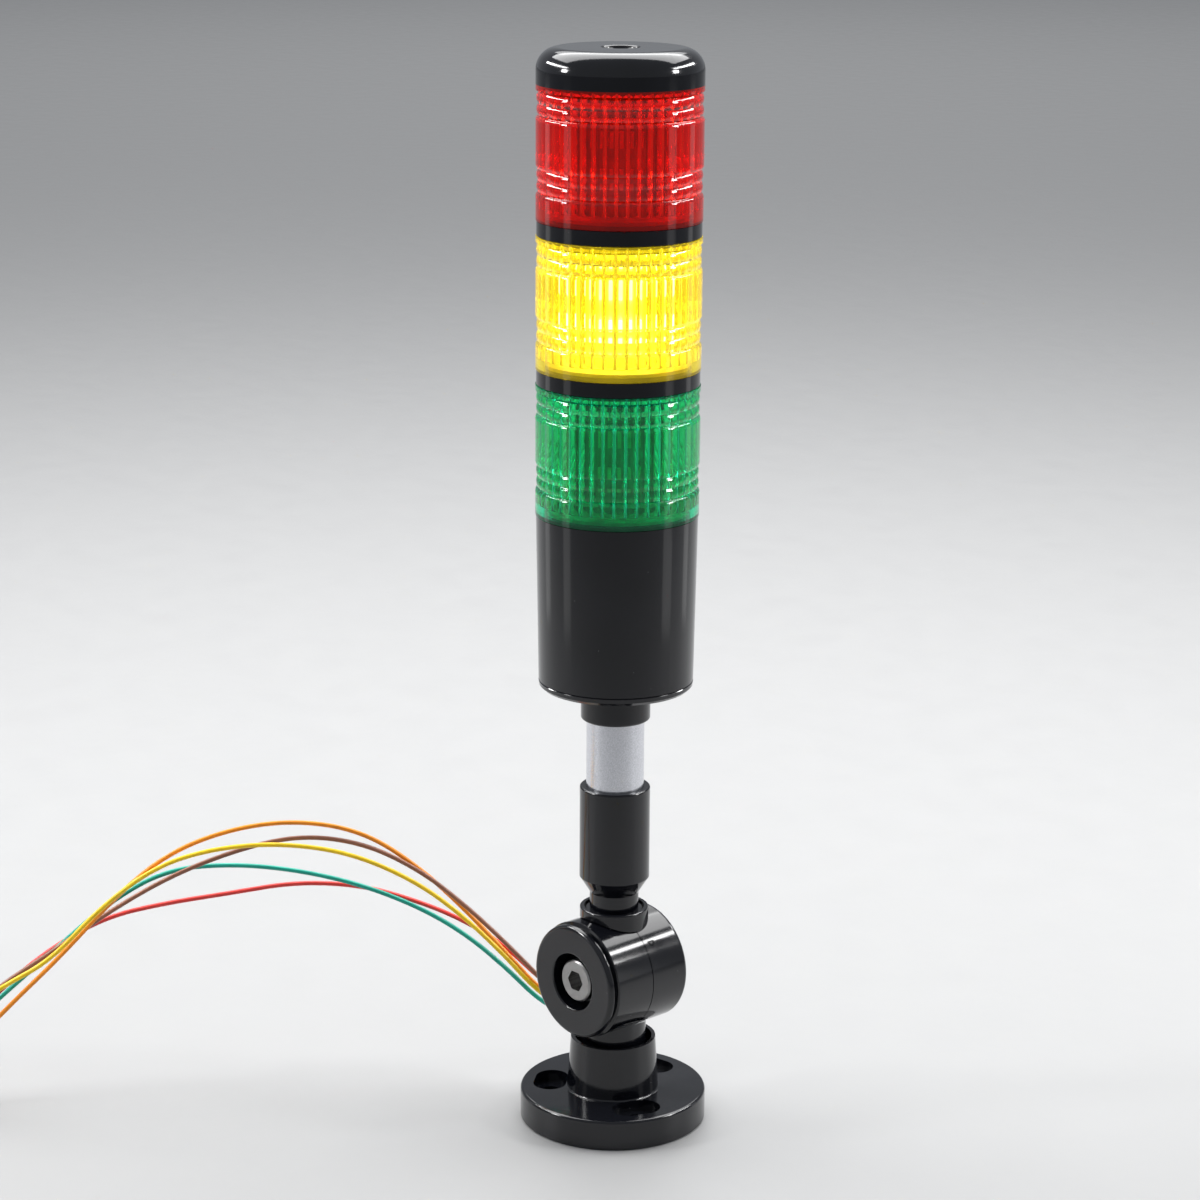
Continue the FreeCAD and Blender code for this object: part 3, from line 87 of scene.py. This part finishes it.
# The flying leads, in millimetres. A seat is how far a lead sits to the side of and above the
# outlet's middle. A route's points are distance along the leads' heading, distance behind the
# upright plane through the axis, and height.
LEAD_HEADING = 227.5
LEAD_DIAMETER = 1.5
LEAD_RUN = 5.0
LEAD_ROUNDING = 6
LEAD_STEPS = 12
OUTLET = (-11.4, 0.0, 29.3)
LEAD_COLOURS = {
    "orange": (0.95, 0.3, 0.003), "brown": (0.3, 0.12, 0.07), "yellow": (1.0, 0.66, 0.002),
    "green": (0.0, 0.4, 0.3), "red": (0.85, 0.05, 0.04)}
LEADS = {
    "orange": {"length": 298.5, "seat": (1.3, -0.4), "route": [
        (17, 18.5, 30.6), (24.5, 20.8, 34), (35, 22.5, 45.5), (48, 23.8, 59.5), (63, 24.2, 74),
        (81, 23, 86.5), (102, 20, 91), (123, 16.5, 89), (143, 13, 81.5), (160, 10.3, 67),
        (176, 6.8, 49.6), (192, 3.8, 34.2), (206, 1, 20), (219, -1.5, 8.2), (232, -4, 0.9),
        (245, -6.5, 0.8)]},
    "brown": {"length": 298, "seat": (-0.8, 1.1), "route": [
        (17.5, 15, 33), (25, 17.8, 40), (35, 19.8, 50), (48, 21.5, 62), (63, 22, 74),
        (81, 21.7, 83), (101, 19.8, 86), (121, 17.8, 81.5), (142, 15, 73.5), (162, 12, 62),
        (180, 8.3, 49.5), (196, 5, 39.5), (211, 2, 27), (224, -0.5, 14), (236, -3, 4.5),
        (247, -5, 0.9), (258, -7.5, 0.8)]},
    "yellow": {"length": 303, "seat": (-1.3, -0.4), "route": [
        (18, 14.8, 31), (25.5, 16.5, 35.5), (36, 18.3, 47), (49, 19.3, 59.5), (64, 19.3, 71),
        (84, 18.3, 80.5), (105, 16, 84.5), (126, 13, 84), (145, 10, 79), (163, 6.8, 66),
        (179, 3.3, 49), (194, 1, 41), (210, -2, 31), (225, -5, 18), (238, -7.5, 7),
        (250, -10, 0.9), (262, -12.5, 0.8)]},
    "green": {"length": 295, "seat": (0.0, -1.35), "route": [
        (17.5, 18, 27.3), (25, 22, 30), (35, 24.3, 39.5), (48, 25.5, 50.5), (63, 26, 59.5),
        (82, 25.2, 67.5), (103, 23.5, 73), (124, 20.5, 75.8), (144, 17.8, 74.5),
        (162, 14.2, 64.5), (180, 11, 48.8), (196, 8, 35), (210, 5.5, 22), (223, 3.5, 11),
        (236, 1.5, 3), (247, -0.5, 0.9), (258, -3, 0.8)]},
    "red": {"length": 285, "seat": (0.8, 1.1), "route": [
        (16.5, 18.5, 32.5), (24.5, 23.3, 36.8), (35, 26.3, 46), (48, 28, 54), (63, 28.3, 60.5),
        (82, 27.3, 66.5), (103, 25.5, 68), (124, 22.8, 65), (144, 20, 62.5), (163, 17, 58.8),
        (180, 13.2, 49.8), (196, 10.3, 37), (209, 8.3, 24), (221, 7, 12), (233, 5.5, 3),
        (244, 3.8, 0.9), (255, 2.3, 0.8)]},
}

# Their stripped ends: strands round a middle one, twisted by an angle in radians.
TIP_DIAMETER = 0.9
TIP_LENGTH = 6.0
TIP_TWIST = 1.6
OUTER_STRANDS = 6
STRAND_SIDES = 8
STRAND_STEPS = 12


# ---- materials

class Recipe:
    """A node material: its Principled shader and short ways to feed it."""

    def __init__(self, name, **sockets):
        self.made = bpy.data.materials.new(name)
        self.made.use_nodes = True
        self.tree = self.made.node_tree
        self.shader = self.tree.nodes["Principled BSDF"]
        for socket, value in sockets.items():
            self.shader.inputs[socket.replace("_", " ")].default_value = value
        self.place = self.add("ShaderNodeTexCoord").outputs["Object"]

    def add(self, kind, **settings):
        node = self.tree.nodes.new(kind)
        for name, value in settings.items():
            setattr(node, name, value)
        return node

    def join(self, output, socket):
        self.tree.links.new(output, socket)

    def feed(self, socket, output):
        """Joins an output to one of the shader's sockets."""
        self.join(output, self.shader.inputs[socket])

    def noise(self, size, detail=3, stretch=(1, 1, 1)):
        """Noise whose features are about size metres across."""
        mapping = self.add("ShaderNodeMapping")
        mapping.inputs["Scale"].default_value = stretch
        self.join(self.place, mapping.inputs["Vector"])
        noise = self.add("ShaderNodeTexNoise")
        noise.inputs["Scale"].default_value = 1 / size
        noise.inputs["Detail"].default_value = detail
        self.join(mapping.outputs["Vector"], noise.inputs["Vector"])
        return noise.outputs["Fac"]

    def ranged(self, value, low, high, start=0.3, end=0.7):
        """Takes a value that runs from start to end, and runs it from low to high."""
        mapped = self.add("ShaderNodeMapRange")
        for name, number in (("From Min", start), ("From Max", end), ("To Min", low),
                             ("To Max", high)):
            mapped.inputs[name].default_value = number
        self.join(value, mapped.inputs["Value"])
        return mapped.outputs["Result"]

    def blend(self, factor, first, second):
        """Mixes two colours, each plain or from another node."""
        mix = self.add("ShaderNodeMix", data_type="RGBA")
        for socket, colour in (("A", first), ("B", second)):
            if isinstance(colour, tuple):
                mix.inputs[socket].default_value = (*colour, 1)
            else:
                self.join(colour, mix.inputs[socket])
        self.join(factor, mix.inputs["Factor"])
        return mix.outputs["Result"]

    def maths(self, operation, *values):
        node = self.add("ShaderNodeMath", operation=operation)
        for socket, value in zip(node.inputs, values):
            if isinstance(value, (int, float)):
                socket.default_value = value
            else:
                self.join(value, socket)
        return node.outputs["Value"]

    def bump(self, height, depth, over=None):
        """Raises the surface by up to depth metres, over another bump if one is given."""
        node = self.add("ShaderNodeBump")
        node.inputs["Strength"].default_value = 1.0
        node.inputs["Distance"].default_value = depth
        self.join(height, node.inputs["Height"])
        if over is not None:
            self.join(over, node.inputs["Normal"])
        return node.outputs["Normal"]

    def specks(self, spacing, size, share):
        """1 on sparse specks: this share of the cells of a grid of spacing holds one."""
        cells = self.add("ShaderNodeTexVoronoi", feature="F1")
        cells.inputs["Scale"].default_value = 1 / spacing
        self.join(self.place, cells.inputs["Vector"])
        near = self.maths("LESS_THAN", cells.outputs["Distance"], size / spacing)
        split = self.add("ShaderNodeSeparateColor")
        self.join(cells.outputs["Color"], split.inputs["Color"])
        chosen = self.maths("LESS_THAN", split.outputs["Red"], share)
        return self.maths("MULTIPLY", near, chosen)

    def patchy(self, dark, light, size, detail=3):
        """A colour that drifts from dark to light over patches of a size."""
        return self.blend(self.ranged(self.noise(size, detail), 0, 1), dark, light)

    def uneven(self, low, high, size, detail=3):
        """A number that drifts from low to high over patches of a size."""
        return self.ranged(self.noise(size, detail), low, high)

    def glow(self, colour, strength, spread, size):
        """Gives light, whose strength drifts by a share spread over patches of a size."""
        self.shader.inputs["Emission Color"].default_value = (*colour, 1)
        self.feed("Emission Strength", self.uneven((1 - spread) * strength,
                                                   (1 + spread) * strength, size, detail=2))


def black_moulding():
    """Gloss black ABS with a faint orange peel, uneven gloss and a little dust."""
    recipe = Recipe("black_moulding", IOR=ABS_IOR)
    dust = recipe.specks(spacing=0.0023, size=0.00009, share=0.14)
    tone = recipe.patchy((0.0022, 0.0025, 0.004), (0.0048, 0.0052, 0.0075), 0.015, detail=4)
    recipe.feed("Base Color", recipe.blend(dust, tone, (0.2, 0.2, 0.21)))
    gloss = recipe.uneven(0.07, 0.15, 0.02, detail=4)
    recipe.feed("Roughness", recipe.maths("ADD", gloss, recipe.maths("MULTIPLY", dust, 0.5)))
    peel = recipe.bump(recipe.noise(0.0011, detail=2), depth=0.0000008)
    waves = recipe.noise(0.009, detail=1)
    recipe.feed("Normal", recipe.bump(waves, depth=0.000006, over=peel))
    return recipe.made


def lens_plastic(name, pale, deep, glow, strength):
    """Clear tinted polycarbonate with faint flow marks and a faint painted glow, which stands in
    for light scattered in the lens.
    """
    recipe = Recipe(name, Transmission_Weight=1.0, IOR=POLYCARBONATE_IOR)
    recipe.feed("Base Color", recipe.patchy(deep, pale, 0.012))
    recipe.feed("Roughness", recipe.uneven(0.015, 0.05, 0.006))
    flow = recipe.noise(0.004, detail=2, stretch=(1, 1, 0.25))
    recipe.feed("Normal", recipe.bump(flow, depth=0.0000015))
    # Painted glow: the lens is no lamp; this emission fakes light scattered inside it.
    recipe.glow(glow, strength, spread=0.25, size=0.01)
    return recipe.made


def anodised():
    """Aluminium, fine bead blasted and anodised."""
    recipe = Recipe("anodised_aluminium", Metallic=1.0)
    grain = recipe.noise(0.00035)
    recipe.feed("Base Color", recipe.blend(recipe.ranged(grain, 0, 1, start=0.35, end=0.65),
                                           (0.6, 0.61, 0.65), (0.78, 0.79, 0.83)))
    recipe.feed("Roughness", recipe.uneven(0.2, 0.27, 0.0012))
    recipe.feed("Normal", recipe.bump(grain, depth=0.000005))
    return recipe.made


def turned_steel(height):
    """Steel with turning marks round the hinge axis, which is at this height."""
    mark_spacing = 0.00032
    recipe = Recipe("turned_steel", Metallic=1.0)
    split = recipe.add("ShaderNodeSeparateXYZ")
    recipe.join(recipe.place, split.inputs["Vector"])
    across = recipe.maths("POWER", split.outputs["X"], 2)
    up = recipe.maths("POWER", recipe.maths("SUBTRACT", split.outputs["Z"], height), 2)
    radius = recipe.maths("SQRT", recipe.maths("ADD", across, up))
    rings = recipe.maths("SINE", recipe.maths("MULTIPLY", radius, FULL_TURN / mark_spacing))
    tone = recipe.maths("ADD", recipe.uneven(0, 0.35, 0.002),
                        recipe.ranged(rings, 0, 0.65, start=-1, end=1))
    recipe.feed("Base Color", recipe.blend(tone, (0.26, 0.255, 0.25), (0.42, 0.415, 0.41)))
    recipe.feed("Roughness", recipe.uneven(0.3, 0.36, 0.0015))
    fine = recipe.bump(recipe.noise(0.0003, detail=2), depth=0.0000015)
    recipe.feed("Normal", recipe.bump(rings, depth=0.000002, over=fine))
    return recipe.made


def plain_metal(name, dark, light, rough):
    """Plated or drawn metal with an uneven tone and fine scratches."""
    recipe = Recipe(name, Metallic=1.0)
    recipe.feed("Base Color", recipe.patchy(dark, light, 0.003, detail=4))
    recipe.feed("Roughness", recipe.uneven(rough, rough + 0.15, 0.001))
    scratches = recipe.noise(0.0006, stretch=(1, 1, 0.1))
    recipe.feed("Normal", recipe.bump(scratches, depth=0.000004))
    return recipe.made


def wire_jacket(name, colour):
    """Extruded PVC: satin, with faint draw marks and a slightly uneven colour."""
    recipe = Recipe(name, IOR=PVC_IOR, Subsurface_Weight=0.15,
                    Subsurface_Radius=(0.0006, 0.0004, 0.0003))
    darker = tuple(0.82 * part for part in colour)
    recipe.feed("Base Color", recipe.patchy(darker, colour, 0.006))
    recipe.feed("Roughness", recipe.uneven(0.28, 0.42, 0.002))
    recipe.feed("Normal", recipe.bump(recipe.noise(0.0007, detail=2), depth=0.000006))
    return recipe.made


def matt(name, dark, light, rough):
    """Moulded rubber, solder mask or matt plastic."""
    recipe = Recipe(name)
    recipe.feed("Base Color", recipe.patchy(dark, light, 0.004))
    recipe.feed("Roughness", recipe.uneven(rough - 0.06, rough + 0.06, 0.002))
    recipe.feed("Normal", recipe.bump(recipe.noise(0.0006), depth=0.000008))
    return recipe.made


def lit(name, colour, strength, base):
    """A surface that gives light, a little uneven over its face: real light on the lamps, a
    painted glow on the boards.
    """
    recipe = Recipe(name, Base_Color=(*base, 1), Roughness=0.5)
    recipe.glow(colour, strength, spread=0.2, size=0.002)
    return recipe.made


def finish_nodes():
    """Gives every CAD node its material."""
    low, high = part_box("hinge_screw")
    finishes = {
        black_moulding(): [
            "base_flange", "lower_knuckle", "hinge_cap", "upper_knuckle", "pole_sleeve",
            "body_cover", "body_housing", "green_base", "yellow_base", "red_base", "cap"],
        turned_steel((low.z + high.z) / 2): ["hinge_screw"],
        plain_metal("zinc_plate", (0.55, 0.56, 0.58), (0.74, 0.75, 0.76), 0.25): [
            "neck_washer", "neck_nut", "friction_washer", "hinge_nut", "pole_nut", "tie_rod",
            "rod_washer", "rod_nut", "board_screws"],
        plain_metal("black_oxide", (0.05, 0.05, 0.055), (0.1, 0.1, 0.11), 0.3): [
            "pole_set_screw"],
        plain_metal("brass", (0.6, 0.43, 0.18), (0.8, 0.62, 0.3), 0.25): [
            "contact_pins", "cap_insert"],
        plain_metal("copper", (0.6, 0.3, 0.15), (0.85, 0.5, 0.32), 0.22): ["lead_tips"],
        anodised(): ["pole"],
        matt("solder_mask", (0.78, 0.78, 0.75), (0.88, 0.88, 0.86), 0.4): ["driver_board"],
        matt("bare_board", (0.3, 0.26, 0.14), (0.5, 0.45, 0.28), 0.4): [
            "green_boards", "red_boards", "green_round_board", "red_round_board"],
        matt("shaded_board", (0.34, 0.33, 0.28), (0.46, 0.45, 0.4), 0.4): [
            "yellow_round_board"],
        matt("rubber", (0.012, 0.012, 0.013), (0.025, 0.025, 0.026), 0.6): ["lead_grommet"],
        matt("buzzer_case", (0.012, 0.012, 0.012), (0.03, 0.03, 0.03), 0.45): ["buzzer"],
        matt("nylon", (0.8, 0.78, 0.7), (0.9, 0.88, 0.82), 0.45): ["wire_connector"],
        matt("unlit_lamp", (0.75, 0.68, 0.3), (0.9, 0.82, 0.4), 0.35): [
            "green_leds", "red_leds"],
        wire_jacket("inner_wire", (0.75, 0.6, 0.1)): ["inner_leads", "tier_leads"],
        # The boards' light is a painted glow; only the LEDs are lamps.
        lit("lit_board", (1.0, 0.78, 0.12), 1.6, (0.9, 0.85, 0.7)): ["yellow_boards"],
        lit("lit_lamp", (1.0, 0.94, 0.72), 1600.0, (1.0, 0.9, 0.6)): ["yellow_leds"],
        # The lenses' glow strengths are painted glow, not lamps.
        lens_plastic("green_lens", pale=(0.006, 0.92, 0.48), deep=(0.0, 0.68, 0.3),
                     glow=(0.0, 1.0, 0.45), strength=0.015): ["green_lens"],
        lens_plastic("yellow_lens", pale=(1.0, 0.92, 0.1), deep=(1.0, 0.78, 0.04),
                     glow=(1.0, 0.76, 0.0), strength=0.12): ["yellow_lens"],
        lens_plastic("red_lens", pale=(1.0, 0.03, 0.002), deep=(0.92, 0.012, 0.001),
                     glow=(1.0, 0.02, 0.0), strength=0.05): ["red_lens"],
    }
    for material, names in finishes.items():
        for name in names:
            mesh = NODES[name].data
            mesh.materials.clear()
            mesh.materials.append(material)


# ---- leads

def along_heading(out, back, up):
    """A point of a lead's route, in metres in the model's frame."""
    heading = math.radians(LEAD_HEADING)
    x = out * math.cos(heading) + back * math.sin(heading)
    y = out * math.sin(heading) - back * math.cos(heading)
    return Vector((x, y, up)) * MM


def lead(colour, facts, jacket):
    """One lead as a smooth curve through its route, attached to the base."""
    side, lift = facts["seat"]
    start = Vector((OUTLET[0], OUTLET[1] + side, OUTLET[2] + lift)) * MM
    points = [start, start - Vector((LEAD_RUN, 0, 0)) * MM]
    points += [along_heading(*point) for point in facts["route"]]
    curve = bpy.data.curves.new("wire_" + colour, "CURVE")
    curve.dimensions = "3D"
    curve.resolution_u = LEAD_STEPS
    curve.bevel_depth = LEAD_DIAMETER / 2 * MM
    curve.bevel_resolution = LEAD_ROUNDING
    curve.use_fill_caps = True
    spline = curve.splines.new("NURBS")
    spline.points.add(len(points) - 1)
    for point, place in zip(spline.points, points):
        point.co = (*place, 1)
    spline.order_u = 3
    spline.use_endpoint_u = True
    wire = bpy.data.objects.new("wire_" + colour, curve)
    bpy.context.collection.objects.link(wire)
    curve.materials.append(jacket)
    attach(wire, "base")
    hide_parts("lead_" + colour)
    tip = strands("tip_" + colour, points[-1], (points[-1] - points[-2]).normalized())


def strands(name, place, way):
    """The stripped end: fine copper strands, lightly twisted."""
    radius = TIP_DIAMETER / 6 * MM
    mesh = bpy.data.meshes.new(name)
    shape = bmesh.new()
    side = way.cross(Vector((0, 0, 1))).normalized()
    rise = side.cross(way)

    def around(angle):
        return side * math.cos(angle) + rise * math.sin(angle)

    for index in range(OUTER_STRANDS + 1):
        reach = 0 if index == OUTER_STRANDS else 2 * radius
        loops = []
        for step in range(STRAND_STEPS + 1):
            turn = FULL_TURN * index / OUTER_STRANDS + TIP_TWIST * step / STRAND_STEPS
            middle = place + way * (TIP_LENGTH * MM * step / STRAND_STEPS)
            middle = middle + around(turn) * reach
            loops.append([
                shape.verts.new(middle + around(FULL_TURN * part / STRAND_SIDES) * radius)
                for part in range(STRAND_SIDES)])
        for first, second in zip(loops, loops[1:]):
            for part in range(STRAND_SIDES):
                following = (part + 1) % STRAND_SIDES
                shape.faces.new((first[part], first[following], second[following],
                                 second[part]))
        shape.faces.new(reversed(loops[0]))
        shape.faces.new(loops[-1])
    bmesh.ops.recalc_face_normals(shape, faces=shape.faces)
    shape.to_mesh(mesh)
    shape.free()
    for face in mesh.polygons:
        face.use_smooth = len(face.vertices) == 4
    piece = bpy.data.objects.new(name, mesh)
    bpy.context.collection.objects.link(piece)
    mesh.materials.append(bpy.data.materials["copper"])
    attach(piece, "base")
    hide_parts("lead_tips")
    return piece


def leads():
    for colour, facts in LEADS.items():
        lead(colour, facts, wire_jacket(colour + "_wire", LEAD_COLOURS[colour]))


# ---- camera, floor and light

def from_camera_side(right, away, up):
    """A point to the right of, away from and above the model's origin, as the camera sees it."""
    azimuth = math.radians(CAMERA_AZIMUTH)
    x = right * math.cos(azimuth) - away * math.sin(azimuth)
    y = right * math.sin(azimuth) + away * math.cos(azimuth)
    return Vector((x, y, up))


def camera():
    yaw, pitch = math.radians(CAMERA_YAW), math.radians(CAMERA_PITCH)
    ahead = from_camera_side(math.sin(yaw) * math.cos(pitch), math.cos(yaw) * math.cos(pitch),
                             -math.sin(pitch))
    right = from_camera_side(math.cos(yaw), -math.sin(yaw), 0)
    up = right.cross(ahead)
    roll = math.radians(CAMERA_ROLL)
    tilted_right = right * math.cos(roll) + up * math.sin(roll)
    tilted_up = up * math.cos(roll) - right * math.sin(roll)
    data = bpy.data.cameras.new("camera")
    data.lens = CAMERA_LENS
    data.sensor_width = CAMERA_SENSOR
    data.clip_start = CAMERA_NEAREST
    data.clip_end = CAMERA_FARTHEST
    place = from_camera_side(CAMERA_SIDE, -CAMERA_DISTANCE, CAMERA_HEIGHT)
    turned = Matrix((tilted_right, tilted_up, -ahead)).transposed().to_4x4()
    taken = bpy.data.objects.new("camera", data)
    taken.matrix_world = Matrix.Translation(place) @ turned
    bpy.context.collection.objects.link(taken)
    bpy.context.scene.camera = taken


def floor():
    reach = FLOOR_REACH
    mesh = bpy.data.meshes.new("floor")
    corners = [(-reach, -reach, 0), (reach, -reach, 0), (reach, reach, 0), (-reach, reach, 0)]
    mesh.from_pydata(corners, [], [(0, 1, 2, 3)])
    plane = bpy.data.objects.new("floor", mesh)
    bpy.context.collection.objects.link(plane)
    recipe = Recipe("pale_floor", Base_Color=(*FLOOR_COLOUR, 1))
    recipe.feed("Roughness", recipe.uneven(0.42, 0.5, 0.02))
    mesh.materials.append(recipe.made)


def softbox(name, place, target, width, height, power):
    """A rectangular lamp at a place seen from the camera's side, turned to a target."""
    data = bpy.data.lights.new(name, "AREA")
    data.shape = "RECTANGLE"
    data.size = width
    data.size_y = height
    data.energy = power
    lamp = bpy.data.objects.new(name, data)
    lamp.location = from_camera_side(*place)
    ahead = from_camera_side(*target) - lamp.location
    lamp.rotation_euler = ahead.to_track_quat("-Z", "Y").to_euler()
    bpy.context.collection.objects.link(lamp)


def light():
    """Wide softboxes overhead and over the far floor, and small ones along both sides."""
    bpy.context.scene.view_settings.view_transform = "Standard"
    world = bpy.data.worlds.new("studio")
    bpy.context.scene.world = world
    world.use_nodes = True
    background = world.node_tree.nodes["Background"]
    background.inputs["Color"].default_value = (*ROOM_COLOUR, 1)
    background.inputs["Strength"].default_value = ROOM_STRENGTH
    for name, facts in MIDDLE_LAMPS.items():
        softbox(name, *facts)
    for end, sign in (("left", -1), ("right", 1)):
        for name, ((right, away, up), *facts) in SIDE_LAMPS.items():
            softbox(name + "_" + end, (sign * right, away, up), *facts)


camera()
finish_nodes()
leads()
floor()
light()
